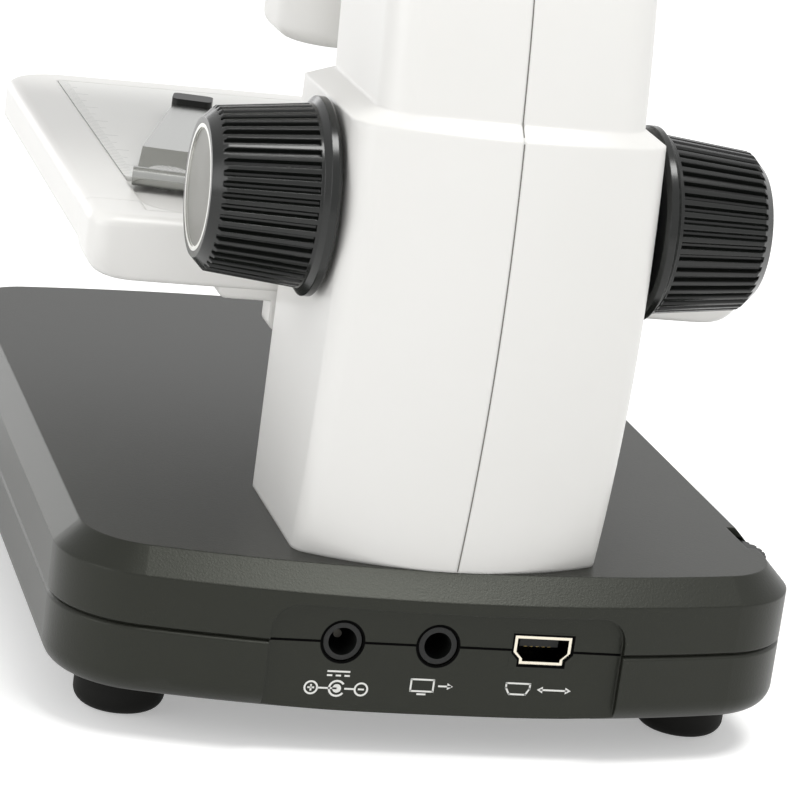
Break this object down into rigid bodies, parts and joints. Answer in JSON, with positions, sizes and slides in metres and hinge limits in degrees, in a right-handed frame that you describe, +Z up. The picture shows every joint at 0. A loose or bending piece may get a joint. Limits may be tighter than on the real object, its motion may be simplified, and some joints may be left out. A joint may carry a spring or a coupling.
{
  "type": "digital microscope",
  "caption": "Desktop microscope with a tilted screen head, bowed column, rack-driven stage with spring clips, ribbed focus knobs and a flat base with sockets at the back.",
  "frame": {"origin": "On the ground under the middle of the base. The column's bowed back reaches under 1 mm further back than the base.", "axes": "+Z up; -Y towards the user, who faces the screen; +Y towards the sockets in the back of the base; +X to the right of a user who faces the screen."},
  "size_m": [0.0994, 0.1447, 0.1772],
  "materials": {
    "white_shell": "satin",
    "base_shell": "satin",
    "black_plastic": "satin",
    "knob_black": "satin",
    "black_gloss": "gloss",
    "foot_rubber": "matte",
    "screw_steel": "satin",
    "bright_steel": "polished",
    "spring_steel": "brushed",
    "cap_metal": "turned",
    "brass": "satin",
    "board_green": "satin",
    "chip_black": "matte",
    "white_resin": "matte",
    "acetal": "satin",
    "scale_print": "satin",
    "screen": "gloss",
    "clear_cover": "gloss",
    "lens_glass": "polished",
    "led_lens": "gloss",
    "button_plastic": "satin",
    "ribbon": "matte"
  },
  "bodies": {
    "frame": {"base_top_shell": "base_shell", "base_bottom_shell": "base_shell", "rubber_feet": "foot_rubber", "base_screws": "screw_steel", "main_board": "board_green", "board_chips": "chip_black", "board_screws": "screw_steel", "dc_jack": "black_plastic", "dc_jack_pin": "bright_steel", "av_jack": "black_plastic", "av_jack_contact": "bright_steel", "usb_shell": "bright_steel", "usb_tongue": "black_plastic", "usb_contacts": "brass", "card_socket": "bright_steel", "brightness_pot": "chip_black", "column_left": "white_shell", "column_right": "white_shell", "column_screws": "screw_steel", "shaft_bushes": "acetal", "guide_rods": "bright_steel", "head_rear_shell": "white_shell", "head_bezel": "black_gloss", "lcd_panel": "screen", "lcd_window": "clear_cover", "head_board": "board_green", "button_switches": "chip_black", "head_screws": "screw_steel", "lens_housing": "white_shell", "lens_barrel": "black_plastic", "objective_lens": "lens_glass", "sensor_board": "board_green", "led_board": "white_resin", "leds": "led_lens", "light_cover": "clear_cover", "head_ribbon": "ribbon"},
    "stage": {"stage_carriage": "black_plastic", "focus_rack": "acetal", "stage_plate": "white_shell", "stage_cover": "white_shell", "scale_plate": "scale_print", "stage_screws": "screw_steel", "clip_pins": "bright_steel"},
    "focus_drive": {"focus_shaft": "bright_steel", "focus_pinion": "brass", "knob_left": "knob_black", "knob_right": "knob_black", "knob_cap_left": "cap_metal", "knob_cap_right": "cap_metal"},
    "clip_body_left": {"clip_left": "spring_steel", "clip_tip_left": "black_plastic"},
    "clip_body_right": {"clip_right": "spring_steel", "clip_tip_right": "black_plastic"},
    "brightness_control": {"brightness_wheel": "black_plastic"},
    "button_power_body": {"button_power": "button_plastic"},
    "button_menu_body": {"button_menu": "button_plastic"},
    "button_down_body": {"button_down": "button_plastic"},
    "button_up_body": {"button_up": "button_plastic"},
    "button_capture_body": {"button_capture": "button_plastic"}
  },
  "joints": [
    {"name": "stage_slide", "type": "slide", "parent": "frame", "child": "stage", "axis": [0, 0, 1], "range_m": [-0.02, 0.01]},
    {"name": "focus_turn", "type": "hinge", "parent": "frame", "child": "focus_drive", "pos_m": [0, 0.0556, 0.0698], "axis": [1, 0, 0], "range_deg": [-120.5, 240]},
    {"name": "brightness_turn", "type": "hinge", "parent": "frame", "child": "brightness_control", "pos_m": [-0.0419, 0.0472, 0.0222], "axis": [0, 0, 1], "range_deg": [-135, 135]},
    {"name": "clip_left_turn", "type": "hinge", "parent": "stage", "child": "clip_body_left", "pos_m": [0.032, 0.0113, 0.0605], "axis": [0, 0, 1], "range_deg": [-30, 20]},
    {"name": "clip_right_turn", "type": "hinge", "parent": "stage", "child": "clip_body_right", "pos_m": [-0.032, 0.0113, 0.0605], "axis": [0, 0, 1], "range_deg": [-20, 30]},
    {"name": "power_press", "type": "slide", "parent": "frame", "child": "button_power_body", "axis": [0, 0.766, -0.6428], "range_m": [0, 0.0008], "stiffness_N_per_m": 400, "springref_m": -0.0005},
    {"name": "menu_press", "type": "slide", "parent": "frame", "child": "button_menu_body", "axis": [0, 0.766, -0.6428], "range_m": [0, 0.0008], "stiffness_N_per_m": 400, "springref_m": -0.0005},
    {"name": "down_press", "type": "slide", "parent": "frame", "child": "button_down_body", "axis": [0, 0.766, -0.6428], "range_m": [0, 0.0008], "stiffness_N_per_m": 400, "springref_m": -0.0005},
    {"name": "up_press", "type": "slide", "parent": "frame", "child": "button_up_body", "axis": [0, 0.766, -0.6428], "range_m": [0, 0.0008], "stiffness_N_per_m": 400, "springref_m": -0.0005},
    {"name": "capture_press", "type": "slide", "parent": "frame", "child": "button_capture_body", "axis": [0, 0.766, -0.6428], "range_m": [0, 0.0008], "stiffness_N_per_m": 400, "springref_m": -0.0005}
  ],
  "couplings": [
    {"joint": "focus_turn", "follows": "stage_slide", "rad_per_m": -208.33}
  ]
}
